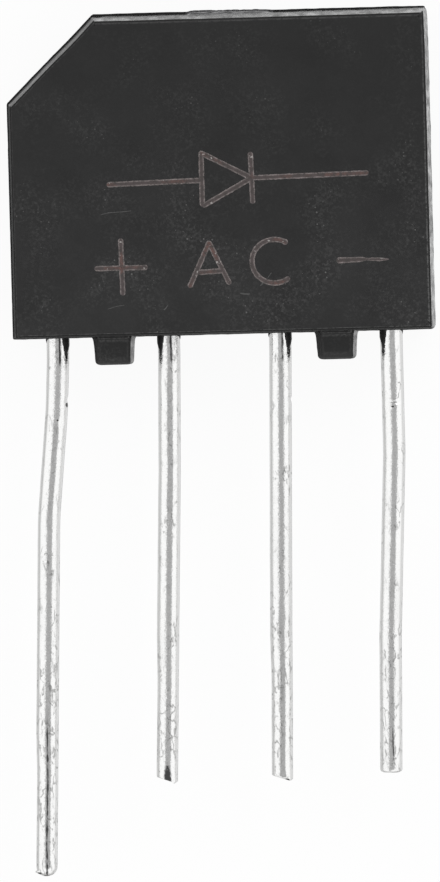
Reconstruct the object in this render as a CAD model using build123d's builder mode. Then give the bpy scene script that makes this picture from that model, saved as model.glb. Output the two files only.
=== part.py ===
"""Single-phase bridge rectifier in a flat moulded case with four round wire leads in one row.

The case lies on its flat back. The origin is the middle of that back, +X runs towards the minus lead,
+Y towards the top edge, away from the leads, and +Z out of the marked front. Sizes are in millimetres.
"""

import os
from math import radians, tan

from build123d import *

# Moulded case, width and height taken on the parting line
case_width = 14.5
case_height = 11.1
case_thickness = 3.5
bevel_leg = 3.0
case_draft = 4.0
corner_radius = 0.14
rim_radius = 0.1

# Scar left on the top edge where the runner was broken off
gate_width = 2.9
gate_depth = 1.1
gate_rise = 0.03
gate_root = 0.12
gate_offset = 0.46

# Feet that hold the case off the board
foot_pitch = 7.62
foot_height = 0.95
foot_root_width = 1.5
foot_waist_width = 1.38
foot_end_width = 1.22
foot_waist_drop = 0.19
foot_half_depth = 0.8
foot_draft = 11.0
foot_face_lean = 8.0
foot_edge_radius = 0.07
foot_embed = 0.5

# Round wire leads, in one row on the parting line
lead_pitch = 3.81
wire_diameter = 0.76
wire_bend_radius = 12.0
wire_grip = 0.6
tip_chamfer = 0.12
shear_angle = 12.0

# Flat ends pressed from the same wire, which cross inside the case
neck_length = 1.1
strip_width = 1.8
strip_thickness = 0.25
strip_overrun = 0.1
arm_inner_radius = 0.1
minus_arm_level = 3.5
plus_arm_level = 7.0

# Dice soldered between the crossing strips, and the silicone round their edges
die_size = 1.5
die_thickness = 0.28
solder_size = 1.3
solder_thickness = 0.05
coat_margin = 0.15
coat_corner_radius = 0.2

# Bends of each lead as it lies: distance below the case and sideways shift, the last at the tip
plus_bends = [(0.6, 0.0), (2.4, -0.09), (6.1, -0.455), (18.42, -0.88)]
left_bends = [(0.6, 0.0), (4.6, -0.09), (15.28, -0.475)]
right_bends = [(0.6, 0.0), (15.3, -0.337)]
minus_bends = [(4.2, 0.0), (10.4, -0.285), (15.14, -0.385)]

# Levels that follow from the sizes above
half_thickness = case_thickness / 2
parting_z = half_thickness
case_bottom = -case_height / 2
case_top = case_height / 2
neck_start = case_bottom + wire_grip
neck_end = neck_start + neck_length
strip_gap = die_thickness + 2 * solder_thickness
front_strip_z = parting_z + strip_gap / 2
back_strip_z = parting_z - strip_gap / 2 - strip_thickness
outer_x = 1.5 * lead_pitch
inner_x = 0.5 * lead_pitch
minus_level = case_bottom + minus_arm_level
plus_level = case_bottom + plus_arm_level
crossing_reach = strip_width / 2 + strip_overrun
arm_bend_radius = strip_width / 2 + arm_inner_radius


def inset(depth, draft):
    """How far a drafted wall stands back at this depth from the parting line."""
    return depth * tan(radians(draft))


def formed_lead(root_x, bends, strip_z, flat_line, slant):
    """One lead in one piece: round wire with its bends, a neck, and the flat end along flat_line."""
    wire_points = [(root_x, neck_start, parting_z)]
    wire_points += [(root_x + shift, case_bottom - drop, parting_z) for drop, shift in bends]
    with BuildPart() as lead:
        # Round wire, sheared off across its tip or cut square and blunted
        with BuildLine() as route:
            FilletPolyline(*wire_points, radius=wire_bend_radius)
        with BuildSketch(Plane(route.line @ 0, z_dir=route.line % 0)):
            Circle(wire_diameter / 2)
        sweep()
        if slant:
            cut = Plane(route.line @ 1, z_dir=(route.line % 1).rotate(Axis.Z, -slant))
            cut = cut.offset(-inset(wire_diameter / 2, slant))
            split(bisect_by=cut, keep=Keep.BOTTOM)
        else:
            chamfer(lead.edges().sort_by(Axis.Y)[0], tip_chamfer)
        # Neck, where the round wire goes over into the pressed strip
        with BuildSketch(Plane((root_x, neck_start, parting_z), x_dir=(1, 0, 0), z_dir=(0, 1, 0))):
            Circle(wire_diameter / 2)
        strip_middle = strip_z + strip_thickness / 2
        with BuildSketch(Plane((root_x, neck_end, strip_middle), x_dir=(1, 0, 0), z_dir=(0, 1, 0))):
            Rectangle(strip_width, strip_thickness)
        loft()
        # Flat end, with the full round that pressing leaves on the end of a wire
        with BuildSketch(Plane.XY.offset(strip_z)):
            with BuildLine():
                if len(flat_line) == 1:
                    Line((root_x, neck_end), flat_line[0])
                else:
                    FilletPolyline((root_x, neck_end), *flat_line, radius=arm_bend_radius)
            trace(line_width=strip_width)
            with Locations(flat_line[-1]):
                Circle(strip_width / 2)
        extrude(amount=strip_thickness)
    return lead.part


# Leads: the plus and minus arms cross in front of the two alternating-current strips
strip_top = plus_level + crossing_reach
lead_forms = {
    "lead_positive": (
        -outer_x,
        plus_bends,
        front_strip_z,
        [(-outer_x, plus_level), (inner_x + crossing_reach, plus_level)],
        0,
    ),
    "lead_ac_left": (-inner_x, left_bends, back_strip_z, [(-inner_x, strip_top)], shear_angle),
    "lead_ac_right": (inner_x, right_bends, back_strip_z, [(inner_x, strip_top)], shear_angle),
    "lead_negative": (
        outer_x,
        minus_bends,
        front_strip_z,
        [(outer_x, minus_level), (-inner_x - crossing_reach, minus_level)],
        0,
    ),
}
pieces = {name: formed_lead(*form) for name, form in lead_forms.items()}

# Dice, each with solder on both faces and a ring of silicone, at the four crossings
crossings = {
    "left_minus": (-inner_x, minus_level),
    "left_plus": (-inner_x, plus_level),
    "right_minus": (inner_x, minus_level),
    "right_plus": (inner_x, plus_level),
}
back_solder_z = parting_z - strip_gap / 2
front_solder_z = parting_z + die_thickness / 2
for place, centre in crossings.items():
    with BuildPart() as die:
        with BuildSketch(Plane.XY.offset(parting_z - die_thickness / 2)):
            with Locations(centre):
                Rectangle(die_size, die_size)
        extrude(amount=die_thickness)
    pieces[f"die_{place}"] = die.part
    for side, level in {"back": back_solder_z, "front": front_solder_z}.items():
        with BuildPart() as solder:
            with BuildSketch(Plane.XY.offset(level)):
                with Locations(centre):
                    Rectangle(solder_size, solder_size)
            extrude(amount=solder_thickness)
        pieces[f"solder_{side}_{place}"] = solder.part
    with BuildPart() as coat:
        with BuildSketch(Plane.XY.offset(back_solder_z)):
            with Locations(centre):
                coat_size = die_size + 2 * coat_margin
                RectangleRounded(coat_size, coat_size, coat_corner_radius)
        extrude(amount=strip_gap)
        add(die.part, mode=Mode.SUBTRACT)
        add(pieces[f"solder_back_{place}"], mode=Mode.SUBTRACT)
        add(pieces[f"solder_front_{place}"], mode=Mode.SUBTRACT)
    pieces[f"junction_coat_{place}"] = coat.part


# One foot with drafted walls, thinner than the case, flared at its root and flat where it meets the board
foot_waist = case_bottom - foot_waist_drop
foot_end = case_bottom - foot_height
foot_spare = 2 * inset(foot_half_depth, foot_draft)
side_slope = (foot_waist_width - foot_end_width) / 2 / (foot_height - foot_waist_drop)
spare_width = foot_end_width - 2 * side_slope * foot_spare
with BuildPart() as foot:
    with BuildSketch(Plane.XY.offset(parting_z)):
        with BuildLine():
            side = Polyline(
                (foot_root_width / 2, case_bottom + foot_embed),
                (foot_root_width / 2, case_bottom),
                (foot_waist_width / 2, foot_waist),
                (spare_width / 2, foot_end - foot_spare),
            )
            mirror(side, about=Plane.YZ)
            Line(side @ 0, (-foot_root_width / 2, case_bottom + foot_embed))
            Line(side @ 1, (-spare_width / 2, foot_end - foot_spare))
        make_face()
    extrude(amount=foot_half_depth, taper=foot_draft)
    split(bisect_by=Plane((0, foot_end, 0), z_dir=(0, 1, 0)), keep=Keep.TOP)
    face_root = (0, case_bottom, parting_z + foot_half_depth)
    face_lean = Vector(0, 0, 1).rotate(Axis.X, foot_face_lean)
    split(bisect_by=Plane(face_root, z_dir=face_lean), keep=Keep.BOTTOM)
    mirror(about=Plane.XY.offset(parting_z))
    fillet(foot.faces().sort_by(Axis.Y)[0].edges(), foot_edge_radius)

# Case, moulded in two drafted halves round everything above
with BuildPart() as case:
    with BuildSketch(Plane.XY.offset(parting_z)) as outline:
        with BuildLine():
            Polyline(
                (-case_width / 2, case_bottom),
                (case_width / 2, case_bottom),
                (case_width / 2, case_top),
                (-case_width / 2 + bevel_leg, case_top),
                (-case_width / 2, case_top - bevel_leg),
                close=True,
            )
        make_face()
        fillet(outline.vertices(), corner_radius + inset(half_thickness, case_draft))
    extrude(amount=half_thickness, taper=case_draft)
    fillet(case.faces().sort_by(Axis.Z)[-1].edges(), rim_radius)
    mirror(about=Plane.XY.offset(parting_z))
    with Locations((-foot_pitch / 2, 0), (foot_pitch / 2, 0)):
        add(foot.part)
    with BuildSketch(Plane((gate_offset, case_top + gate_rise, parting_z), x_dir=(1, 0, 0), z_dir=(0, -1, 0))):
        RectangleRounded(gate_width, gate_depth, gate_depth / 3)
    extrude(amount=gate_rise + gate_root)
    for piece in pieces.values():
        add(piece, mode=Mode.SUBTRACT)
pieces["case"] = case.part

os.makedirs("parts", exist_ok=True)
for name, piece in pieces.items():
    piece.label = name
    export_step(piece, f"parts/{name}.step")
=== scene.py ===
"""Looks of the bridge rectifier: moulded case, four tinned leads, the dice inside, the etched marks."""

from math import atan2, cos, exp, pi, radians, sin, sqrt, tan

import bmesh
import bpy
from mathutils import Matrix, Vector, noise


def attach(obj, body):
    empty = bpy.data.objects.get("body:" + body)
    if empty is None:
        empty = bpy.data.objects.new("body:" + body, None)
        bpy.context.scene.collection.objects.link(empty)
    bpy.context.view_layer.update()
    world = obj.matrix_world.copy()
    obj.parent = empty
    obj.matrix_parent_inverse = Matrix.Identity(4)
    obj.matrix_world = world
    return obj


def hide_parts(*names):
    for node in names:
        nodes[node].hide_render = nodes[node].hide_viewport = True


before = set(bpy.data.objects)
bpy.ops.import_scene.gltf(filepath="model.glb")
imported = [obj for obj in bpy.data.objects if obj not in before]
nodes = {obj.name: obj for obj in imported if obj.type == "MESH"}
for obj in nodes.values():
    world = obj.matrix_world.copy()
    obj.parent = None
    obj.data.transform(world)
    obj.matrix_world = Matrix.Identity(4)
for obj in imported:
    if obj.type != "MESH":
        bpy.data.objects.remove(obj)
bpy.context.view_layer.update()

mm = 0.001


# Leads: four round copper wires, hot-dip tinned, moulded into the case. Inside it each is pressed flat.
# Three were snipped by a shear or a cutter, the long one was cropped and its end is rolled over.
parting_z = 1.75
case_bottom = -5.55
lead_pitch = 3.81
wire_radius = 0.38
bend_radius = 12.0
joint_y = case_bottom + 0.3
wire_overlap = 0.12
ring_spacing = 0.035
lump_height, lump_length = 0.016, 0.9


def make_tree(name, inputs):
    """An empty Geometry Nodes tree with named inputs, its ends, and the sockets' identifiers by name."""
    tree = bpy.data.node_groups.new(name, "GeometryNodeTree")
    tree.interface.new_socket("Geometry", in_out="INPUT", socket_type="NodeSocketGeometry")
    ids = {}
    for label, kind in inputs.items():
        ids[label] = tree.interface.new_socket(label, in_out="INPUT", socket_type=kind).identifier
    tree.interface.new_socket("Geometry", in_out="OUTPUT", socket_type="NodeSocketGeometry")
    return tree, tree.nodes.new("NodeGroupInput"), tree.nodes.new("NodeGroupOutput"), ids


def put(tree, kind, sockets=None, **settings):
    """Adds a node. Each socket gets a value, or a link when it is given another node's output."""
    node = tree.nodes.new(kind)
    for name, value in settings.items():
        setattr(node, name, value)
    for name, value in (sockets or {}).items():
        if isinstance(value, bpy.types.NodeSocket):
            tree.links.new(value, node.inputs[name])
        else:
            node.inputs[name].default_value = value
    return node


def ramp(tree, value, low, high, to_low=0.0, to_high=1.0):
    """The value as it goes from low to high, turned into to_low to to_high and held at both ends."""
    sockets = {"Value": value, "From Min": low, "From Max": high, "To Min": to_low, "To Max": to_high}
    return put(tree, "ShaderNodeMapRange", sockets).outputs[0]


def calc(tree, operation, *values, clamp=False):
    """The result of one operation on up to three values."""
    return put(tree, "ShaderNodeMath", dict(enumerate(values)), operation=operation, use_clamp=clamp).outputs[0]


def tint(tree, factor, first, second):
    """Two colours mixed, each of them a socket or red, green and blue."""
    sides = [side if isinstance(side, bpy.types.NodeSocket) else (*side, 1) for side in (first, second)]
    mix = put(tree, "ShaderNodeMix", {"Factor": factor, "A": sides[0], "B": sides[1]}, data_type="RGBA")
    return mix.outputs["Result"]


def noise_node(tree, place, scale, detail=2.0, roughness=0.5):
    """Smooth noise from 0 to 1."""
    sockets = {"Vector": place, "Scale": scale, "Detail": detail, "Roughness": roughness}
    return put(tree, "ShaderNodeTexNoise", sockets).outputs[0]


def new_finish(name):
    """An empty material, its node tree, its shader and the object coordinates."""
    material = bpy.data.materials.new(name)
    material.use_nodes = True
    tree = material.node_tree
    return material, tree, tree.nodes["Principled BSDF"], put(tree, "ShaderNodeTexCoord").outputs["Object"]


def add_object(name, data):
    """An object with this data, in the scene."""
    thing = bpy.data.objects.new(name, data)
    bpy.context.scene.collection.objects.link(thing)
    return thing


def as_mesh(bm, name):
    """The plain mesh of an edited one, which is freed."""
    mesh = bpy.data.meshes.new(name)
    bm.to_mesh(mesh)
    bm.free()
    return mesh


def smooth(mesh, sharp_angle=None):
    """Smooth shading, with edges above this angle in degrees kept sharp."""
    for face in mesh.polygons:
        face.use_smooth = True
    if sharp_angle:
        mesh.set_sharp_from_angle(angle=radians(sharp_angle))


def grow(name, source, tree, ids, values):
    """Runs a tree on a source mesh and returns the plain mesh it makes."""
    helper = add_object(name + "_helper", source)
    modifier = helper.modifiers.new("grow", "NODES")
    modifier.node_group = tree
    for label, value in values.items():
        modifier[ids[label]] = value
    deps = bpy.context.evaluated_depsgraph_get()
    mesh = bpy.data.meshes.new_from_object(helper.evaluated_get(deps), depsgraph=deps)
    bpy.data.objects.remove(helper)
    mesh.name = name
    return mesh


def show(name, mesh, material, slot, *replaced):
    """Makes the finished piece from its mesh, gives it its finish and its body, and hides the CAD nodes it replaces."""
    piece = add_object(name, mesh)
    mesh.materials.clear()
    mesh.materials.append(material)
    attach(piece, "root")
    if replaced:
        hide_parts(*replaced)


def path_mesh(name, *lines):
    """A mesh of edges only, one open line for each list of points in millimetres."""
    verts, edges = [], []
    for line in lines:
        edges += [(len(verts) + i, len(verts) + i + 1) for i in range(len(line) - 1)]
        verts += [Vector(point) * mm for point in line]
    mesh = bpy.data.meshes.new(name)
    mesh.from_pydata(verts, edges, [])
    return mesh


def merged_copy(node):
    """A copy of a CAD node's mesh with its loose triangles sewn together."""
    bm = bmesh.new()
    bm.from_mesh(nodes[node].data)
    bmesh.ops.remove_doubles(bm, verts=bm.verts, dist=1e-7)
    return bm


def carve(mesh, tool, operation):
    """Joins a tool mesh to a mesh or cuts it away, and returns the result."""
    pair = [add_object("carve", one) for one in (mesh, tool)]
    modifier = pair[0].modifiers.new("carve", "BOOLEAN")
    modifier.operation = operation
    modifier.solver = "MANIFOLD"
    modifier.object = pair[1]
    deps = bpy.context.evaluated_depsgraph_get()
    result = bpy.data.meshes.new_from_object(pair[0].evaluated_get(deps), depsgraph=deps)
    for one in pair:
        bpy.data.objects.remove(one)
    return result


# The tinned surface: bright tin, uneven from the dip and pitted with dross. A band down its flanks is painted shade,
# deeper on the leftward side, and darker flecks painted along the tops mottle the grey reflection there.
# Just below the case most leads carry a dark streak along the top.
tinned, tree, tin, place = new_finish("hot_dipped_tin")
tin.inputs["Specular Tint"].default_value = (0.5, 0.5, 0.5, 1)
facing = put(tree, "ShaderNodeSeparateXYZ", {0: put(tree, "ShaderNodeNewGeometry").outputs["Normal"]})
along = put(tree, "ShaderNodeMapping", {"Vector": place, "Scale": (1.0, 0.3, 1.0)}).outputs[0]
swells = noise_node(tree, along, 2400.0, 2.0)
ripples = noise_node(tree, along, 9000.0, 3.0, 0.6)
grain = noise_node(tree, place, 17000.0, 2.0)
patches = noise_node(tree, along, 1700.0, 4.0, 0.6)
mottle = noise_node(tree, place, 10000.0, 3.0, 0.7)
dross = noise_node(tree, place, 14000.0, 2.0, 0.5)
dull = ramp(tree, patches, 0.52, 0.8)
color = tint(tree, dull, (0.96, 0.96, 0.955), (0.88, 0.88, 0.875))
# Painted shade: a band down each flank of the wire is darkened, more on the side facing -X, standing in for the darker
# surroundings it reflects; the very edges are spared.
painted_flank_shade = ramp(tree, facing.outputs["Z"], 0.74, 0.6)
brink = ramp(tree, facing.outputs["Z"], 0.5, 0.36)
painted_flank_shade = calc(tree, "SUBTRACT", painted_flank_shade, brink)
flank_shade_leftward = ramp(tree, facing.outputs["X"], 0.8, -0.8, 0.62)
painted_flank_shade = calc(tree, "MULTIPLY", painted_flank_shade, flank_shade_leftward)
color = tint(tree, painted_flank_shade, color, (0.56, 0.56, 0.555))
drawn = put(tree, "ShaderNodeMapping", {"Vector": place, "Scale": (1.0, 0.6, 1.0)}).outputs[0]
twist = put(tree, "ShaderNodeTexNoise", {"Vector": drawn, "Scale": 3000.0, "Detail": 2.0}).outputs["Color"]
drawn = put(tree, "ShaderNodeVectorMath", {0: twist, 1: (0.0005, 0.0005, 0.0005), 2: drawn}, operation="MULTIPLY_ADD")
cells = put(tree, "ShaderNodeTexVoronoi", {"Vector": drawn.outputs[0], "Scale": 3100.0}, feature="DISTANCE_TO_EDGE")
wrinkle = ramp(tree, cells.outputs["Distance"], 0.1, 0.03)
spot = put(tree, "ShaderNodeSeparateXYZ", {0: place}).outputs
few_wrinkles_y, most_wrinkles_y = -14.5, -18.5
lower = ramp(tree, spot["Y"], few_wrinkles_y * mm, most_wrinkles_y * mm)
some = calc(tree, "MULTIPLY_ADD", lower, 0.13, swells)
some = ramp(tree, some, 0.5, 0.62)
gaps = ramp(tree, ripples, 0.44, 0.54)
some = calc(tree, "MULTIPLY", some, gaps)
wrinkle = calc(tree, "MULTIPLY", wrinkle, some)
color = tint(tree, wrinkle, color, (0.46, 0.46, 0.455))
# Painted reflection: darker flecks only where the wire faces straight up, mottling the grey reflection along its top.
crest = ramp(tree, facing.outputs["Z"], 0.93, 0.98)
painted_top_flecks = ramp(tree, mottle, 0.44, 0.6)
painted_top_flecks = calc(tree, "MULTIPLY", painted_top_flecks, crest)
color = tint(tree, painted_top_flecks, color, (0.74, 0.74, 0.735))
pit = ramp(tree, dross, 0.68, 0.8)
color = tint(tree, pit, color, (0.5, 0.5, 0.495))
# A dark streak near the top of each lead but the minus one, just below the case, and on the plus lead's last stretch
root_y, minus_side_x, last_stretch_y, plus_side_x = -6.55, 4.5, -18.0, -4.5
near = ramp(tree, spot["Y"], root_y * mm, (root_y + 0.2) * mm)
inner = ramp(tree, spot["X"], minus_side_x * mm, (minus_side_x - 0.2) * mm)
near = calc(tree, "MULTIPLY", near, inner)
band_mask = ramp(tree, spot["Y"], last_stretch_y * mm, (last_stretch_y - 1.0) * mm)
outer = ramp(tree, spot["X"], plus_side_x * mm, (plus_side_x - 0.2) * mm)
band_mask = calc(tree, "MULTIPLY", band_mask, outer)
dark_marks = None
for centre, reach, part in ((0.19, 0.23, near), (0.02, 0.24, band_mask)):
    off = calc(tree, "SUBTRACT", facing.outputs["X"], centre)
    off = calc(tree, "ABSOLUTE", off)
    off = calc(tree, "MULTIPLY_ADD", ripples, 0.4, off)
    streak = ramp(tree, off, reach + 0.09, reach)
    streak = calc(tree, "MULTIPLY", streak, part)
    dark_marks = calc(tree, "MAXIMUM", streak, dark_marks or 0.0)
# Dirt that sits in nicks and where the cutter bit: middle and half size of each smudge
smudges = (
    (-5.455, -7.81, 0.06, 0.1),
    (-5.776, -8.32, 0.05, 0.05),
    (2.252, -7.845, 0.05, 0.06),
    (5.705, -8.14, 0.08, 0.04),
    (-2.33, -20.85, 0.16, 0.9),
    (-6.6, -23.97, 0.26, 0.07),
    (-6.82, -23.86, 0.1, 0.05),
    (5.42, -19.7, 0.03, 0.8),
    (1.75, -20.85, 0.12, 0.06),
)
for x, y, wide, high in smudges:
    near_spot = put(tree, "ShaderNodeMapping", {"Vector": place, "Location": (-x / wide, -y / high, 0)})
    near_spot.inputs["Scale"].default_value = (1 / wide / mm, 1 / high / mm, 0)
    far = put(tree, "ShaderNodeVectorMath", {0: near_spot.outputs[0]}, operation="LENGTH")
    far = calc(tree, "MULTIPLY_ADD", mottle, 0.9, far.outputs["Value"])
    dirty = ramp(tree, far, 1.35, 1.05)
    dark_marks = calc(tree, "MAXIMUM", dirty, dark_marks)
color = tint(tree, dark_marks, color, (0.05, 0.05, 0.05))
tree.links.new(color, tin.inputs["Base Color"])
metal = calc(tree, "SUBTRACT", 1.0, dark_marks)
tree.links.new(metal, tin.inputs["Metallic"])
rough = ramp(tree, patches, 0.38, 0.62, 0.08, 0.15)
coarse = ramp(tree, mottle, 0.48, 0.72, 0.0, 0.34)
rough = calc(tree, "ADD", rough, coarse)
rough = calc(tree, "MULTIPLY_ADD", dark_marks, 0.3, rough)
tree.links.new(rough, tin.inputs["Roughness"])
swell_height, ripple_height, grain_height = 0.013, 0.003, 0.009
matted = ramp(tree, patches, 0.4, 0.6, 0.3, 1.0)
bump = put(tree, "ShaderNodeBump", {"Height": swells, "Distance": swell_height * mm})
bump = put(tree, "ShaderNodeBump", {"Height": ripples, "Distance": ripple_height * mm, "Normal": bump.outputs[0]})
bump = put(tree, "ShaderNodeBump", {"Height": grain, "Distance": grain_height * mm, "Normal": bump.outputs[0]})
tree.links.new(matted, bump.inputs["Strength"])
tree.links.new(bump.outputs[0], tin.inputs["Normal"])

# The round wire: a circle swept along its bent line, its surface a little lumpy
wire_tree, start, end, wire_ids = make_tree(
    "round_wire",
    {
        "Wire radius": "NodeSocketFloat",
        "Bend radius": "NodeSocketFloat",
        "Ring spacing": "NodeSocketFloat",
        "Lump height": "NodeSocketFloat",
        "Lump length": "NodeSocketFloat",
        "Seed": "NodeSocketFloat",
        "Finish": "NodeSocketMaterial",
    },
)
given = start.outputs
line = put(wire_tree, "GeometryNodeMeshToCurve", {"Mesh": given["Geometry"]})
bent = {"Curve": line.outputs[0], "Radius": given["Bend radius"], "Count": 12, "Limit Radius": True}
line = put(wire_tree, "GeometryNodeFilletCurve", bent, mode="POLY")
spaced = {"Curve": line.outputs[0], "Length": given["Ring spacing"]}
line = put(wire_tree, "GeometryNodeResampleCurve", spaced, mode="LENGTH")
ring = put(wire_tree, "GeometryNodeCurvePrimitiveCircle", {"Resolution": 36, "Radius": given["Wire radius"]})
swept = {"Curve": line.outputs[0], "Profile Curve": ring.outputs[0], "Fill Caps": True}
skin = put(wire_tree, "GeometryNodeCurveToMesh", swept)
where = put(wire_tree, "GeometryNodeInputPosition")
per_lump = calc(wire_tree, "DIVIDE", 1.0, given["Lump length"])
lumpy = {"Vector": where.outputs[0], "W": given["Seed"], "Scale": per_lump, "Detail": 2.0}
lumps = put(wire_tree, "ShaderNodeTexNoise", lumpy, noise_dimensions="4D")
level = calc(wire_tree, "SUBTRACT", lumps.outputs[0], 0.5)
height = calc(wire_tree, "MULTIPLY", level, given["Lump height"])
outward = put(wire_tree, "GeometryNodeInputNormal")
push = put(wire_tree, "ShaderNodeVectorMath", {0: outward.outputs[0], "Scale": height}, operation="SCALE")
moved = put(wire_tree, "GeometryNodeSetPosition", {"Geometry": skin.outputs[0], "Offset": push.outputs[0]})
whole = put(wire_tree, "GeometryNodeRealizeInstances", {"Geometry": moved.outputs[0]})
done = put(wire_tree, "GeometryNodeSetMaterial", {"Geometry": whole.outputs[0], "Material": given["Finish"]})
wire_tree.links.new(done.outputs[0], end.inputs["Geometry"])

# Each lead: bends as drop below the case and sideways shift, the snip's angle, and how far its end is rounded
lead_lines = {
    "lead_positive": (-1.5, [(0.6, 0.0), (2.4, -0.09), (6.1, -0.455), (18.42, -0.88)], 0, 0.34),
    "lead_ac_left": (-0.5, [(0.6, 0.0), (4.6, -0.09), (15.28, -0.475)], 12, 0.05),
    "lead_ac_right": (0.5, [(0.6, 0.0), (15.3, -0.337)], 11, 0.05),
    "lead_negative": (1.5, [(4.2, 0.0), (10.4, -0.285), (15.14, -0.385)], 0, 0.12),
}
# Nicks and dents of each lead: drop below the case, side it lies on in degrees (0 is +X, 90 the front),
# how deep it is, and its half length along and half width across the wire
lead_nicks = {
    "lead_positive": [(2.1, 0, 0.035, 0.1, 0.16), (2.9, 60, 0.02, 0.12, 0.12)],
    "lead_ac_left": [(6.4, 100, 0.012, 0.2, 0.1)],
    "lead_ac_right": [(2.27, 0, 0.04, 0.08, 0.14), (9.7, 80, 0.012, 0.3, 0.1)],
    "lead_negative": [(2.45, 80, 0.03, 0.07, 0.3), (2.62, 110, 0.02, 0.07, 0.2)],
}
# Burrs at the ends: place across the wire, height above the tip, and how far it sticks out down and sideways
burrs = {
    "lead_positive": (-0.33, 0.12, -0.02, -0.12),
    "lead_ac_left": (0.28, 0, 0.07, 0),
    "lead_ac_right": (0.3, 0, 0.05, 0),
}
burr_width, burr_height = 0.08, 0.05
# The last stretch came out of the dip a little thinner and shifted: share of the thickness, and shift
lean_ends = {"lead_positive": (0.05, 0.02), "lead_ac_left": (0.04, 0.02), "lead_ac_right": (0.05, 0.025)}
lean_length, lean_run_in = 5.0, 1.5
worked_length = 1.0
pinch_length = 0.75
pinch_depth = 0.05

for lead, (step, bends, snip, rounding) in lead_lines.items():
    root_x = step * lead_pitch
    points = [(root_x, joint_y + wire_overlap, parting_z)]
    points += [(root_x + shift, case_bottom - drop, parting_z) for drop, shift in bends]
    mesh = grow(
        lead + "_wire",
        path_mesh(lead + "_line", points),
        wire_tree,
        wire_ids,
        {
            "Wire radius": wire_radius * mm,
            "Bend radius": bend_radius * mm,
            "Ring spacing": ring_spacing * mm,
            "Lump height": lump_height * mm,
            "Lump length": lump_length * mm,
            "Seed": step,
            "Finish": tinned,
        },
    )
    bm = bmesh.new()
    bm.from_mesh(mesh)
    bmesh.ops.remove_doubles(bm, verts=bm.verts, dist=1e-8)
    tip, before = Vector(points[-1]), Vector(points[-2])
    run = (tip - before).normalized()
    side = Vector((-run.y, run.x, 0))
    side = side if side.x > 0 else -side
    if snip:
        normal = (run + side * -tan(radians(snip))).normalized()
        at = (tip - run * wire_radius * tan(radians(snip))) * mm
        everything = bm.verts[:] + bm.edges[:] + bm.faces[:]
        bmesh.ops.bisect_plane(bm, geom=everything, plane_co=at, plane_no=normal, clear_outer=True)
        bmesh.ops.holes_fill(bm, edges=[e for e in bm.edges if e.is_boundary])
    for vert in bm.verts:
        here = vert.co / mm
        level = (tip - here).dot(run)
        if lead in lean_ends and level < lean_length:
            thinner, shifted = lean_ends[lead]
            here -= (here - tip + run * level) * thinner * min((lean_length - level) / lean_run_in, 1)
            here += side * shifted * min((lean_length - level) / lean_run_in, 1)
        if level < worked_length:
            off_axis = here - tip + run * level
            across = off_axis.dot(side)
            face_level = level - (wire_radius - across) * tan(radians(snip)) if snip else level
            if face_level < rounding:
                shrink = rounding - sqrt(max(rounding**2 - (rounding - max(face_level, 0)) ** 2, 0))
                here -= off_axis * (shrink / wire_radius)
            if snip:
                roof = wire_radius - pinch_depth * max(1 - level / pinch_length, 0) ** 1.5
                here.z = parting_z + min(max(here.z - parting_z, -roof), roof)
            if lead in burrs:
                burr_at, burr_level, burr_length, burr_reach = burrs[lead]
                above = max(face_level, 0) - burr_level
                bulge = exp(-(((across - burr_at) / burr_width) ** 2)) * exp(-((above / burr_height) ** 2))
                here += (run * burr_length + side * burr_reach) * bulge
        for drop, angle, depth, length, width in lead_nicks[lead]:
            along_nick = (case_bottom - drop - here.y) / length
            if abs(along_nick) < 3:
                axis_x = root_x
                for (drop_a, shift_a), (drop_b, shift_b) in zip([(0, 0)] + bends, bends):
                    if drop_a <= drop <= drop_b:
                        axis_x += shift_a + (shift_b - shift_a) * (drop - drop_a) / (drop_b - drop_a)
                spoke = Vector((here.x - axis_x, 0, here.z - parting_z))
                turn = atan2(spoke.z, spoke.x) - radians(angle)
                turn = (turn + pi) % (2 * pi) - pi
                here -= spoke * depth / wire_radius * exp(-(along_nick**2) - (turn * wire_radius / width) ** 2)
        vert.co = here * mm
    mesh = as_mesh(bm, lead + "_wire")
    flat_end = merged_copy(lead)
    everything = flat_end.verts[:] + flat_end.edges[:] + flat_end.faces[:]
    cut_at = Vector((0, joint_y, 0)) * mm
    bmesh.ops.bisect_plane(flat_end, geom=everything, plane_co=cut_at, plane_no=(0, -1, 0), clear_outer=True)
    bmesh.ops.holes_fill(flat_end, edges=[e for e in flat_end.edges if e.is_boundary])
    mesh = carve(mesh, as_mesh(flat_end, "flat_end"), "UNION")
    smooth(mesh, 40)
    show(lead.replace("lead", "wire"), mesh, tinned, "tinned_wire", lead)


# Dice, solder and silicone: four sawn chips of silicon, each soldered between two flat ends of the leads and
# ringed with silicone that seals its edge. They are closed up inside the case and kept as the CAD gives them.
def speckled(name, dark, light, feature, roughness, metallic=0.0):
    """A material with two tones in fine grains of this size."""
    material, tree, shader, place = new_finish(name)
    shader.inputs["Metallic"].default_value = metallic
    grains = noise_node(tree, place, 1 / feature, 4.0)
    tones = tint(tree, grains, dark, light)
    tree.links.new(tones, shader.inputs["Base Color"])
    rough = ramp(tree, grains, 0.0, 1.0, roughness * 0.75, roughness * 1.25)
    tree.links.new(rough, shader.inputs["Roughness"])
    bump = put(tree, "ShaderNodeBump", {"Height": grains, "Distance": feature * 0.02})
    tree.links.new(bump.outputs[0], shader.inputs["Normal"])
    return material


silicon = speckled("sawn_silicon", (0.12, 0.13, 0.15), (0.2, 0.21, 0.24), 0.05 * mm, 0.3, 0.4)
solder = speckled("soft_solder", (0.4, 0.4, 0.4), (0.62, 0.62, 0.61), 0.08 * mm, 0.38, 1.0)
silicone = speckled("cured_silicone", (0.68, 0.67, 0.63), (0.8, 0.79, 0.75), 0.2 * mm, 0.45)
for name, node in nodes.items():
    if name.startswith(("die", "solder", "junction")):
        finish = silicon if name.startswith("die") else solder if name.startswith("solder") else silicone
        node.data.materials.clear()
        node.data.materials.append(finish)


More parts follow.
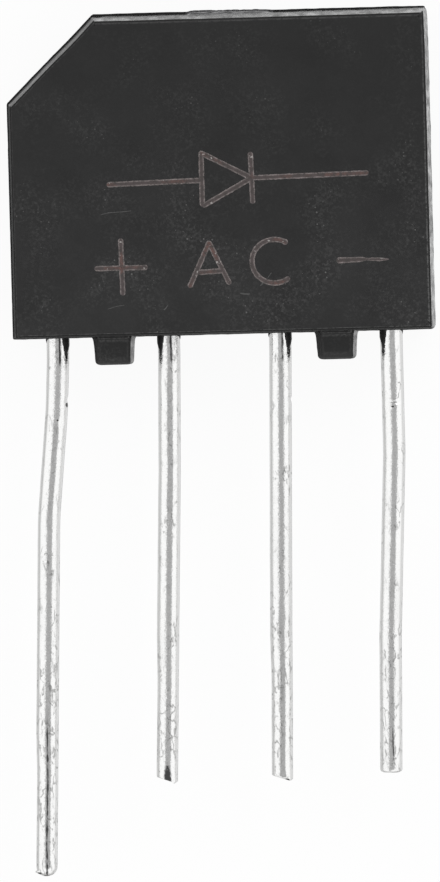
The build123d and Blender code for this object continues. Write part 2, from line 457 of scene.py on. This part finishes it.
# Case: one block of black epoxy, pressed round the leads in a two-part mould. Its walls are drafted both ways
# from the parting line, where a little flash stands, and the top edge keeps the scar of the broken-off runner.
case_top = 5.55
half_width = 7.25
bevel_leg = 3.0
half_thickness = parting_z
case_draft = radians(4)
parting_corner_radii = (0.08, 0.19, 0.19, 0.16, 0.16)
rim_radius = 0.14
scar_from, scar_to, scar_half_depth, scar_rise = -1.0, 1.93, 0.55, 0.03
wall_spacing, scar_spacing, corner_parts, rim_parts = 0.12, 0.035, 7, 6
# Flash: half its thickness, and how far it stands out from the walls and, besides, from the top one
fin_half, fin_reach, top_fin_reach = 0.018, 0.03, 0.05
# Walls: how far the top one leans in, and the waves on all of them, wide and narrow
top_wall_lean, wide_wave, narrow_wave = 0.06, 0.004, 0.003


def rounded_loop(corners, inset, radii, spacings):
    """Points round a convex outline, set back by inset, each corner with its radius and each edge its spacing."""
    loop = []
    count = len(corners)
    normals = []
    for i in range(count):
        edge = (corners[(i + 1) % count] - corners[i]).normalized()
        normals.append(Vector((edge.y, -edge.x)))
    ends = []
    for i in range(count):
        before, after = normals[i - 1], normals[i]
        middle = (before + after) / (1 + before.dot(after))
        radius = radii[i % len(radii)]
        centre = corners[i] - middle * (inset + radius)
        first, last = atan2(before.y, before.x), atan2(after.y, after.x)
        last += 2 * pi if last < first else 0
        arc = [first + (last - first) * k / corner_parts for k in range(corner_parts + 1)]
        ends.append([centre + Vector((cos(a), sin(a))) * radius for a in arc])
    for i in range(count):
        loop += ends[i]
        leave, arrive = ends[i][-1], ends[(i + 1) % count][0]
        loop += [leave.lerp(arrive, t) for t in spacings[i]]
    return loop


def even(length, spacing):
    """Inner fractions of an edge divided at about this spacing."""
    parts = max(2, round(length / spacing))
    return [k / parts for k in range(1, parts)]


def stack(rings):
    """A closed mesh through rings of points that are given from bottom to top, counter-clockwise."""
    bm = bmesh.new()
    rows = [[bm.verts.new(point * mm) for point in ring] for ring in rings]
    count = len(rows[0])
    for lower, upper in zip(rows, rows[1:]):
        for i in range(count):
            j = (i + 1) % count
            bm.faces.new((lower[i], lower[j], upper[j], upper[i]))
    bm.faces.new(reversed(rows[0]))
    bm.faces.new(rows[-1])
    return bm


def rough_at(point, feature, seed=0.0):
    """Smooth random value from -1 to 1 at a point, with features of about this size."""
    return noise.noise(Vector(point) / feature + Vector((seed, 0, 0)))


case_corners = [
    Vector((-half_width, case_bottom)),
    Vector((half_width, case_bottom)),
    Vector((half_width, case_top)),
    Vector((-half_width + bevel_leg, case_top)),
    Vector((-half_width, case_top - bevel_leg)),
]
top_length = 2 * half_width - bevel_leg
top_places = []
reach = wall_spacing
while reach < top_length - wall_spacing / 2:
    top_places.append(reach / top_length)
    x = half_width - reach
    reach += scar_spacing if scar_from - 0.2 < x < scar_to + 0.2 else wall_spacing
case_spacings = [
    even(2 * half_width, wall_spacing),
    even(case_top - case_bottom, wall_spacing),
    top_places,
    even(bevel_leg * sqrt(2), wall_spacing),
    even(case_top - case_bottom - bevel_leg, wall_spacing),
]
# Levels above and below the parting line: close together at the flash and the scar, wider apart beyond
wall_levels = [0, fin_half, fin_half + 0.008, 0.05] + [0.05 + 0.035 * k for k in range(1, 17)]
wall_levels += [0.61 + 0.1 * k for k in range(1, 11)]
rim_centre = (rim_radius + (half_thickness - rim_radius) * sin(case_draft)) / cos(case_draft)
half_steps = [(level * tan(case_draft), level) for level in wall_levels]
for k in range(rim_parts + 1):
    lean = case_draft + (pi / 2 - case_draft) * k / rim_parts
    half_steps.append((rim_centre - rim_radius * cos(lean), half_thickness - rim_radius * (1 - sin(lean))))
half_steps.append((rim_centre + 0.02, half_thickness))
steps = [(inset, -level) for inset, level in reversed(half_steps[1:])] + half_steps

rings = []
for inset, level in steps:
    radii = [max(radius - inset, 0.05) for radius in parting_corner_radii]
    loop = rounded_loop(case_corners, inset, radii, case_spacings)
    ring = []
    for i, flat in enumerate(loop):
        tangent = (loop[(i + 1) % len(loop)] - loop[i - 1]).normalized()
        outward = Vector((tangent.y, -tangent.x))
        point = Vector((flat.x, flat.y, parting_z + level))
        in_plane = (flat.x, flat.y, 0)
        topward = max(outward.y, 0)
        fin = fin_reach + (top_fin_reach - 0.02 * max(flat.x, 0) / half_width) * topward**3
        fin += 0.012 * min(outward.y, 0) - 0.016 * outward.x
        steepness = top_wall_lean * topward * abs(level) / half_thickness
        pinch = 0.045 * exp(-((half_width - flat.x) / 0.5) - ((case_top - flat.y) / 0.7)) * (outward.x > 0.5)
        pinch += 0.03 * exp(-(((flat.x + 4.9) / 0.7) ** 2)) * (outward.x < -0.3)
        push = -fin - steepness - wide_wave * rough_at(point, 1.3) - narrow_wave * rough_at(point, 0.35, 7)
        if abs(level) <= fin_half:
            push = -0.012 - 0.011 * rough_at(in_plane, 0.9, 3) - 0.008 * rough_at(in_plane, 0.25, 13)
            push = min(push + 0.012 * max(-outward.x, 0), 0)
        push -= pinch
        turned_in = max(inset - abs(level) * tan(case_draft), 0)
        push += 0.5 * turned_in * max(-outward.y, -outward.x, 0)
        if flat.y > case_top - 0.25 and scar_from < flat.x < scar_to and abs(level) < scar_half_depth:
            fade = min(1, (flat.x - scar_from) / 0.15, (scar_to - flat.x) / 0.4)
            edge_level = scar_half_depth - 0.1 + 0.1 * rough_at((flat.x, 0, 0), 0.3, 21)
            fade *= min(max((edge_level - abs(level)) / 0.25, 0), 1)
            torn = 0.45 + 0.35 * rough_at(point, 0.9, 11) + 0.45 * rough_at(point, 0.16, 5)
            torn += 0.3 * rough_at(point, 0.07, 9) + (0.35 if flat.x < -0.05 else 0)
            ledge = 0.045 if abs(level) > fin_half else 0
            push = push * (1 - fade) + fade * (scar_rise * min(max(torn, -0.8), 1) - ledge)
        point.x += outward.x * push
        point.y += outward.y * push
        ring.append(point)
    rings.append(ring)
shell = as_mesh(stack(rings), "case_shell")

# Feet: two stubs that keep the case off the board, flared at the root, with a speck of flash under each
foot_places = (-3.78, 3.84)
foot_height, foot_half_width, foot_half_depth = 0.92, 0.722, 0.8
foot_taper, foot_face_lean, foot_draft = 0.07, radians(8), radians(11)
foot_edge_radius, foot_corner_radius, foot_spacing = 0.13, 0.16, 0.06
# Where the front and back of a foot start to round off, over what length, and by how much
foot_nose_from, foot_nose_length, foot_nose_depth = 0.62, 0.34, 0.3
for seed, foot_x in enumerate(foot_places, 1):
    rows = [(drop, 0.0) for drop in [-0.42] + [0.03 * k for k in range(-4, 27)]]
    for degree in range(0, 91, 10):
        rise, inset = (foot_edge_radius * (1 - part(radians(degree))) for part in (sin, cos))
        rows.append((foot_height - rise, inset))
    rings = []
    for drop, edge_inset in reversed(rows):
        flare = 0.035 * exp(-max(drop, 0) / 0.05)
        half = foot_half_width - foot_taper * max(drop, 0) + flare
        depth = foot_half_depth - max(drop, 0) * tan(foot_face_lean) + 0.06 * exp(-max(drop, 0) / 0.04)
        nose = min(max(drop - foot_nose_from, 0) / foot_nose_length, 1)
        depth -= foot_nose_depth * (1 - sqrt(1 - nose**2))
        face = half - depth * tan(foot_draft)
        section = [
            Vector((half, 0)),
            Vector((face, depth)),
            Vector((-face, depth)),
            Vector((-half, 0)),
            Vector((-face, -depth)),
            Vector((face, -depth)),
        ]
        if not rings:
            foot_edges = [even((section[(i + 1) % 6] - section[i]).length, foot_spacing) for i in range(6)]
        ring = []
        for flat in rounded_loop(section, edge_inset, [foot_corner_radius - edge_inset], foot_edges):
            point = Vector((foot_x + flat.x, case_bottom - drop, parting_z - flat.y))
            shake = 0.006 * rough_at(point, 0.4, seed) + 0.004 * rough_at(point, 0.15, seed + 4)
            point.x += shake * (1 if flat.x > 0 else -1)
            if drop > foot_height - 0.02:
                nib = exp(-(((flat.x + 0.02) / 0.05) ** 2) - (flat.y / 0.12) ** 2)
                point.y -= 0.03 * nib
            ring.append(point)
        rings.append(ring)
    bm = stack(rings)
    bmesh.ops.recalc_face_normals(bm, faces=bm.faces)
    shell = carve(shell, as_mesh(bm, "foot"), "UNION")

# Collars of resin that crept along each wire in the mould: a web towards the nearest foot, a thread opposite
web_length, thread_length, collar_rise, collar_points = 0.62, 0.15, 0.025, 64
for step, web_side in ((-1.5, 1), (-0.5, -1), (0.5, 1), (1.5, -1)):
    rings = []
    for drop in [0.75, 0.72, 0.68, 0.64] + [0.04 * k for k in range(15, -2, -1)] + [-0.1, -0.3]:
        ring = []
        for k in range(collar_points):
            angle = 2 * pi * k / collar_points
            toward = cos(angle) * web_side
            web = max(toward - 0.45, 0) / 0.27 if toward < 0.72 else 1 - 0.8 * (toward - 0.72) / 0.28
            length = web_length * web**0.4 + thread_length * max(-toward, 0) ** 16 - 0.01
            left = length - drop
            rise = min(collar_rise * left / 0.1, collar_rise) if left > 0 else max(1.5 * left, -0.06)
            reach = wire_radius + rise + 0.004 * rough_at((drop, angle, step), 0.1)
            x = step * lead_pitch + reach * cos(angle)
            ring.append(Vector((x, case_bottom - drop, parting_z - reach * sin(angle))))
        rings.append(ring)
    bm = stack(rings)
    bmesh.ops.recalc_face_normals(bm, faces=bm.faces)
    shell = carve(shell, as_mesh(bm, "collar"), "UNION")

# Hollows that the leads, dice, solder and silicone fill, cut by those pieces themselves
hollows = bmesh.new()
for name in sorted(nodes):
    if name != "case":
        hollows.from_mesh(as_mesh(merged_copy(name), "inner"))
shell = carve(shell, as_mesh(hollows, "hollows"), "DIFFERENCE")
smooth(shell, 35)

# The moulded surface: cloudy dark grey with paler dust and a coarse broken scar. Painted highlights and painted
# shade lie on the rim and the walls, and painted shade darkens the face towards the top edge.
epoxy, tree, resin, place = new_finish("filled_epoxy")
resin.inputs["Specular IOR Level"].default_value = 0.4
facing = put(tree, "ShaderNodeSeparateXYZ", {0: put(tree, "ShaderNodeNewGeometry").outputs["Normal"]})
clouds = noise_node(tree, place, 420.0, 5.0, 0.68)
spark = noise_node(tree, place, 11000.0, 3.0, 0.65)
specks = put(tree, "ShaderNodeTexVoronoi", {"Vector": place, "Scale": 3600.0}, voronoi_dimensions="2D")
drifts = noise_node(tree, place, 520.0, 3.0)
tones = ramp(tree, clouds, 0.3, 0.7)
tones = tint(tree, tones, (0.0068, 0.0068, 0.0069), (0.0155, 0.0155, 0.0157))
grit = ramp(tree, spark, 0.47, 0.78)
gritty = ramp(tree, drifts, 0.42, 0.66, 0.12)
grit = calc(tree, "MULTIPLY", grit, gritty)
tones = tint(tree, grit, tones, (0.057, 0.057, 0.0564))
reach = ramp(tree, drifts, 0.5, 0.7, 0.0, 0.16)
odd = put(tree, "ShaderNodeSeparateColor", {0: specks.outputs["Color"]}).outputs[0]
reach = calc(tree, "MULTIPLY", reach, odd)
dust = calc(tree, "LESS_THAN", specks.outputs["Distance"], reach)
tones = tint(tree, dust, tones, (0.1, 0.1, 0.098))
# Painted highlight: a pale line, broken into dots, along the rounded rim, stronger where it does not face -X.
band_mask = ramp(tree, facing.outputs["Z"], 0.8, 0.93)
flat = ramp(tree, facing.outputs["Z"], 0.965, 0.985)
painted_rim_highlight = calc(tree, "SUBTRACT", band_mask, flat)
sunlit = ramp(tree, facing.outputs["X"], -0.35, -0.1, 0.3)
painted_rim_highlight = calc(tree, "MULTIPLY", painted_rim_highlight, sunlit)
spot = put(tree, "ShaderNodeSeparateXYZ", {0: place}).outputs
on_case = ramp(tree, spot["Y"], -5.7 * mm, -5.5 * mm, 0.18)
painted_rim_highlight = calc(tree, "MULTIPLY", painted_rim_highlight, on_case)
speckle_breakup = ramp(tree, spark, 0.4, 0.56)
painted_rim_highlight = calc(tree, "MULTIPLY", painted_rim_highlight, speckle_breakup, clamp=True)
tones = tint(tree, painted_rim_highlight, tones, (0.085, 0.085, 0.084))
# Painted shade: the steep part of the rim is darkened and made rough, giving the dark line between rim and walls.
steep = ramp(tree, facing.outputs["Z"], 0.85, 0.7)
upright = ramp(tree, facing.outputs["Z"], 0.38, 0.26)
painted_shade = calc(tree, "SUBTRACT", steep, upright)
painted_shade = calc(tree, "MULTIPLY", painted_shade, on_case)
# Painted shade: walls that face -X or -Y are darkened and made rough, as if turned away from the lamp.
side = calc(tree, "ADD", facing.outputs["X"], facing.outputs["Y"])
painted_wall_shade = ramp(tree, side, -0.3, -0.8)
painted_wall_shade = calc(tree, "MULTIPLY", painted_wall_shade, upright)
# The bevelled wall: painted shade on its lower part near the parting line, and a painted pale sheen above it towards
# the rim.
bevel = calc(tree, "SUBTRACT", facing.outputs["Y"], facing.outputs["X"])
bevel = ramp(tree, bevel, 1.15, 1.3)
bevel_shade_above_z, bevel_shade_below_z = 2.5, 2.2
foot_of_wall = ramp(tree, spot["Z"], bevel_shade_above_z * mm, bevel_shade_below_z * mm)
painted_bevel_shade = calc(tree, "MULTIPLY", foot_of_wall, bevel)
painted_bevel_sheen = calc(tree, "SUBTRACT", bevel, painted_bevel_shade)
painted_bevel_sheen = calc(tree, "MULTIPLY", painted_bevel_sheen, speckle_breakup)
painted_bevel_sheen = calc(tree, "MULTIPLY", painted_bevel_sheen, upright)
tones = tint(tree, painted_bevel_sheen, tones, (0.11, 0.11, 0.108))
# The painted shade of the rim, the walls facing -X and -Y and the lower bevel are laid on together, near black and
# rough.
painted_wall_shade = calc(tree, "MAXIMUM", painted_wall_shade, painted_bevel_shade)
painted_shade = calc(tree, "ADD", painted_shade, painted_wall_shade, clamp=True)
tones = tint(tree, painted_shade, tones, (0.004, 0.004, 0.004))
# Painted shade: the whole face darkens towards the top edge.
pale_y, dark_y = -3.0, 5.5
painted_top_darkening = ramp(tree, spot["Y"], pale_y * mm, dark_y * mm, 0.0, 0.66)
tones = tint(tree, painted_top_darkening, tones, (0.004, 0.004, 0.004))
scar_floor_y, scar_crest_y = 5.4, 5.44
broken = ramp(tree, spot["Y"], scar_floor_y * mm, scar_crest_y * mm)
for axis, low, high in (("X", -1.06, -1.0), ("X", 2.0, 1.9), ("Z", 1.12, 1.2), ("Z", 2.38, 2.3)):
    bound = ramp(tree, spot[axis], low * mm, high * mm)
    broken = calc(tree, "MULTIPLY", broken, bound)
crumbs = ramp(tree, spark, 0.3, 0.6)
torn = calc(tree, "MULTIPLY", broken, crumbs)
tones = tint(tree, torn, tones, (0.085, 0.085, 0.088))
tree.links.new(tones, resin.inputs["Base Color"])
rough = ramp(tree, clouds, 0.3, 0.7, 0.5, 0.62)
rough = put(tree, "ShaderNodeMix", {"Factor": painted_shade, "A": rough, "B": 0.95})
scrape = put(tree, "ShaderNodeMapping", {"Vector": place, "Scale": (1.0, 1.0, 0.3)}).outputs[0]
scrape = noise_node(tree, scrape, 2600.0, 4.0, 0.65)
shine = ramp(tree, scrape, 0.35, 0.65, 0.12, 0.42)
polished = ramp(tree, side, -0.5, 0.6)
polished = calc(tree, "MULTIPLY", polished, upright)
rough = put(tree, "ShaderNodeMix", {"Factor": polished, "A": rough.outputs["Result"], "B": shine})
tree.links.new(rough.outputs["Result"], resin.inputs["Roughness"])
bump = put(tree, "ShaderNodeBump", {"Height": spark, "Distance": 0.003 * mm})
tree.links.new(bump.outputs[0], resin.inputs["Normal"])
show("case_moulding", shell, epoxy, "moulding", "case")


# Marks: the polarity row and a plain diode sign on the face. They are the epoxy itself, burnt pale and brown by
# a laser that moved in single strokes, so each line has a dark middle and paler lips.
face_z = 2 * half_thickness
stroke_width, stroke_height = 0.185, 0.008
stroke_spacing, waver, waver_length = 0.02, 0.5, 0.12

etched, tree, ash, place = new_finish("laser_etched_epoxy")
ash.inputs["Roughness"].default_value = 0.75
across = put(tree, "ShaderNodeAttribute", attribute_name="across").outputs["Fac"]
char = noise_node(tree, place, 9000.0, 4.0, 0.7)
edge = calc(tree, "ABSOLUTE", across)
lip = ramp(tree, edge, 0.4, 0.7)
tones = tint(tree, lip, (0.072, 0.055, 0.055), (0.225, 0.193, 0.189))
scorch = noise_node(tree, place, 1100.0, 2.0)
scorch = ramp(tree, scorch, 0.52, 0.6)
inward = calc(tree, "SUBTRACT", 1.0, lip)
scorch = calc(tree, "MULTIPLY", scorch, inward)
tones = tint(tree, scorch, tones, (0.12, 0.064, 0.056))
burnt = ramp(tree, char, 0.35, 0.65)
shades = tint(tree, burnt, (0.045, 0.038, 0.036), tones)
ashes = noise_node(tree, place, 6500.0, 2.0)
ashes = ramp(tree, ashes, 0.68, 0.74)
shades = tint(tree, ashes, shades, (0.33, 0.31, 0.3))
tree.links.new(shades, ash.inputs["Base Color"])
bump = put(tree, "ShaderNodeBump", {"Height": char, "Distance": 0.006 * mm})
tree.links.new(bump.outputs[0], ash.inputs["Normal"])

stroke_tree, start, end, stroke_ids = make_tree(
    "laser_strokes",
    {
        "Stroke width": "NodeSocketFloat",
        "Stroke height": "NodeSocketFloat",
        "Waver": "NodeSocketFloat",
        "Waver length": "NodeSocketFloat",
        "Finish": "NodeSocketMaterial",
    },
)
given = start.outputs
line = put(stroke_tree, "GeometryNodeMeshToCurve", {"Mesh": given["Geometry"]})
spaced = {"Curve": line.outputs[0], "Length": stroke_spacing * mm}
line = put(stroke_tree, "GeometryNodeResampleCurve", spaced, mode="LENGTH")
track = put(stroke_tree, "GeometryNodeSplineParameter")
length = put(stroke_tree, "GeometryNodeSplineLength")
left = calc(stroke_tree, "SUBTRACT", length.outputs[0], track.outputs["Length"])
nearest = calc(stroke_tree, "MINIMUM", left, track.outputs["Length"])
half = calc(stroke_tree, "MULTIPLY", given["Stroke width"], 0.5)
part = calc(stroke_tree, "DIVIDE", nearest, half, clamp=True)
short = calc(stroke_tree, "SUBTRACT", 1.0, part)
square = calc(stroke_tree, "MULTIPLY", short, short)
rest = calc(stroke_tree, "SUBTRACT", 1.0, square)
round_end = calc(stroke_tree, "SQRT", rest)
thick = calc(stroke_tree, "MAXIMUM", round_end, 0.02)
where = put(stroke_tree, "GeometryNodeInputPosition")
per_waver = calc(stroke_tree, "DIVIDE", 1.0, given["Waver length"])
uneven = noise_node(stroke_tree, where.outputs[0], per_waver, 3.0)
spread = calc(stroke_tree, "SUBTRACT", uneven, 0.5)
spread = calc(stroke_tree, "MULTIPLY_ADD", spread, given["Waver"], 1.0)
size = calc(stroke_tree, "MULTIPLY", thick, spread)
weight = put(stroke_tree, "GeometryNodeInputNamedAttribute", {"Name": "weight"}, data_type="FLOAT").outputs["Attribute"]
size = calc(stroke_tree, "MULTIPLY", size, weight)
ring = put(stroke_tree, "GeometryNodeCurvePrimitiveCircle", {"Resolution": 14, "Radius": half})
spot = put(stroke_tree, "GeometryNodeInputPosition")
parts = put(stroke_tree, "ShaderNodeSeparateXYZ", {0: spot.outputs[0]})
over = calc(stroke_tree, "DIVIDE", parts.outputs["X"], half)
flat = calc(stroke_tree, "DIVIDE", given["Stroke height"], given["Stroke width"])
squash = put(stroke_tree, "ShaderNodeCombineXYZ", {"X": 1.0, "Y": flat, "Z": 1.0})
kept = put(stroke_tree, "GeometryNodeCaptureAttribute", {"Geometry": ring.outputs[0]})
kept.capture_items.new("FLOAT", "across")
stroke_tree.links.new(over, kept.inputs[1])
profile = put(stroke_tree, "GeometryNodeTransform", {"Geometry": kept.outputs[0], "Scale": squash.outputs[0]})
wide = put(stroke_tree, "GeometryNodeSetCurveRadius", {"Curve": line.outputs[0], "Radius": size})
swept = {"Curve": wide.outputs[0], "Profile Curve": profile.outputs[0], "Fill Caps": True, "Scale": size}
ribbon = put(stroke_tree, "GeometryNodeCurveToMesh", swept)
stored = {"Geometry": ribbon.outputs[0], "Name": "across", "Value": kept.outputs[1]}
named = put(stroke_tree, "GeometryNodeStoreNamedAttribute", stored, data_type="FLOAT", domain="POINT")
whole = put(stroke_tree, "GeometryNodeRealizeInstances", {"Geometry": named.outputs[0]})
done = put(stroke_tree, "GeometryNodeSetMaterial", {"Geometry": whole.outputs[0], "Material": given["Finish"]})
stroke_tree.links.new(done.outputs[0], end.inputs["Geometry"])


def bow(centre, wide, high, start_deg, end_deg, steps=24):
    """Points along part of an ellipse."""
    angles = [radians(start_deg + (end_deg - start_deg) * k / steps) for k in range(steps + 1)]
    return [(centre[0] + wide * cos(a), centre[1] + high * sin(a), face_z) for a in angles]


def flat_line(*places):
    """Points of a straight stroke on the face."""
    return [(x, y, face_z) for x, y in places]


def write_strokes(name, lines, weights, width, height, material):
    """A piece made of strokes: their lines, and how heavy the laser or the scratch is at each point."""
    mesh = path_mesh(name + "_line", *lines)
    mesh.attributes.new("weight", "FLOAT", "POINT").data.foreach_set("value", weights)
    mesh = grow(
        name,
        mesh,
        stroke_tree,
        stroke_ids,
        {
            "Stroke width": width * mm,
            "Stroke height": height * mm,
            "Waver": waver,
            "Waver length": waver_length * mm,
            "Finish": material,
        },
    )
    smooth(mesh)
    show(name, mesh, material, "moulding")


strokes = {
    "mark_plus": [flat_line((-4.34, -3.13), (-2.52, -3.13)), flat_line((-3.42, -2.12), (-3.39, -4.07))],
    "mark_alternating": [
        flat_line((-1.12, -3.865), (-0.41, -2.345), (0.275, -3.79)),
        flat_line((-0.84, -3.35), (0.06, -3.31)),
        bow((1.81, -3.03), 0.77, 0.745, 53, 311),
    ],
    "mark_minus": [
        flat_line((3.92, -3.06), (4.6, -3.05), (4.8, -3.04), (4.95, -3.04), (5.2, -3.05), (5.4, -3.06), (5.72, -3.06)),
    ],
    "mark_diode": [
        flat_line((-3.85, -0.28), (-0.6, -0.21)),
        flat_line((-0.6, -1.1), (-0.6, 0.72), (1.1, -0.17), (-0.6, -1.1)),
        flat_line((1.12, -1.05), (1.08, 0.72)),
        flat_line((1.1, -0.17), (5.1, -0.1)),
    ],
}
for name, lines_of_mark in strokes.items():
    weights = [1.0] * sum(len(points) for points in lines_of_mark)
    if name == "mark_minus":
        weights = [1.15, 1.0, 0.85, 0.45, 0.6, 0.7, 0.2]
    write_strokes(name, lines_of_mark, weights, stroke_width, stroke_height, etched)

# Scratches and scuffs on the face, each a thin burr of paler epoxy with its own weight
scratch_width, scratch_height = 0.04, 0.004
scuffed = speckled("scuffed_epoxy", (0.0, 0.0, 0.0), (0.12, 0.12, 0.118), 0.06 * mm, 0.6)
scratches = [
    ([(0.605, -4.092), (0.76, -4.12), (0.947, -4.135)], 1.3),
    ([(1.3, -3.86), (1.367, -3.803), (1.43, -3.7)], 1.2),
    ([(1.43, -3.7), (1.56, -3.6), (1.7, -3.41)], 0.5),
    ([(-4.083, -1.297), (-3.8, -1.235), (-3.568, -1.224), (-3.25, -1.21), (-3.019, -1.187)], 0.6),
    ([(-2.012, -4.605), (-1.93, -4.53), (-1.87, -4.438)], 0.8),
    ([(-3.928, -4.521), (-3.6, -4.43), (-3.342, -4.399)], 0.5),
]
lines = [flat_line(*places) for places, weight in scratches]
weights = [weight for places, weight in scratches for place in places]
write_strokes("face_scratches", lines, weights, scratch_width, scratch_height, scuffed)


# Floor, light and camera: the part lies loose on a matt white sheet of paper under a pale tent of cloth, whose
# grey opening shows in the tops of the wires. One small lamp on the right gives the faint shadows.
floor_half = 0.6
floor_corners = [(x * floor_half, y * floor_half, 0) for x, y in ((-1, -1), (1, -1), (1, 1), (-1, 1))]
floor_mesh = bpy.data.meshes.new("sheet")
floor_mesh.from_pydata(floor_corners, [], [(0, 1, 2, 3)])
floor = add_object("sheet", floor_mesh)
sheet = bpy.data.materials.new("white_sheet")
sheet.use_nodes = True
tree = sheet.node_tree
paper = tree.nodes["Principled BSDF"]
paper.inputs["Base Color"].default_value = (0.9, 0.9, 0.9, 1)
paper.inputs["Roughness"].default_value = 0.9
paper.inputs["Specular IOR Level"].default_value = 0.1
rays = put(tree, "ShaderNodeLightPath").outputs
seen = calc(tree, "ADD", rays["Is Camera Ray"], rays["Is Glossy Ray"])
seen = calc(tree, "ADD", seen, rays["Is Transmission Ray"])
share = calc(tree, "MULTIPLY", seen, 0.93)
glow = put(tree, "ShaderNodeEmission")
glow.inputs["Color"].default_value = (1, 1, 1, 1)
blend = put(tree, "ShaderNodeMixShader", {"Fac": share, 1: paper.outputs[0], 2: glow.outputs[0]})
tree.links.new(blend.outputs[0], tree.nodes["Material Output"].inputs["Surface"])
floor_mesh.materials.append(sheet)

tent = bpy.data.worlds.new("tent")
bpy.context.scene.world = tent
tent.use_nodes = True
tree = tent.node_tree
walls = tree.nodes["Background"]
toward = put(tree, "ShaderNodeTexCoord").outputs["Generated"]
opening_lean = radians(7)
middle = (sin(opening_lean), 0, cos(opening_lean))
height = put(tree, "ShaderNodeVectorMath", {0: toward, 1: middle}, operation="DOT_PRODUCT").outputs["Value"]
opening = ramp(tree, height, 0.862, 0.878, 1.0, 0.44)
rays = put(tree, "ShaderNodeLightPath").outputs
plain = calc(tree, "MAXIMUM", opening, rays["Is Camera Ray"])
tree.links.new(plain, walls.inputs["Strength"])
walls.inputs["Color"].default_value = (1, 1, 1, 1)

key = bpy.data.lights.new("key", "AREA")
key.shape = "DISK"
key.size = 0.2
key.energy = 0.3
key_object = add_object("key", key)
key_from = Vector((0.2, 0.22, 0.2))
key_object.location = key_from
key_object.rotation_euler = key_from.to_track_quat("Z", "Y").to_euler()

# The photograph: 29.2 pixels to a millimetre at the parting line, the part turned 1.5 degrees in the picture,
# the camera a degree to the right of straight above it and a little towards the top edge
pixels_per_metre = 29.2 / mm
seen_turn, seen_right, seen_above = radians(1.5), radians(1.2), radians(2.25)
anchor = Vector((0, case_bottom, parting_z)) * mm
anchor_pixel = Vector((224.4, 334.8))
picture_middle = Vector((220, 441))
picture_height = 882
back = Vector((sin(seen_right), sin(seen_above), 1)).normalized()
right = Vector((sin(seen_turn), cos(seen_turn), 0)).cross(back).normalized()
up = back.cross(right)
camera_data = bpy.data.cameras.new("camera")
camera_data.lens = 500
distance = picture_height / pixels_per_metre * camera_data.lens / camera_data.sensor_width
shift = (anchor_pixel - picture_middle) / pixels_per_metre
camera_data.clip_start = 0.01
camera_data.clip_end = 5
camera = add_object("camera", camera_data)
turned = Matrix((right, up, back)).transposed().to_4x4()
turned.translation = anchor - right * shift.x + up * shift.y + back * distance
camera.matrix_world = turned
bpy.context.scene.camera = camera
bpy.context.scene.view_settings.view_transform = "Standard"
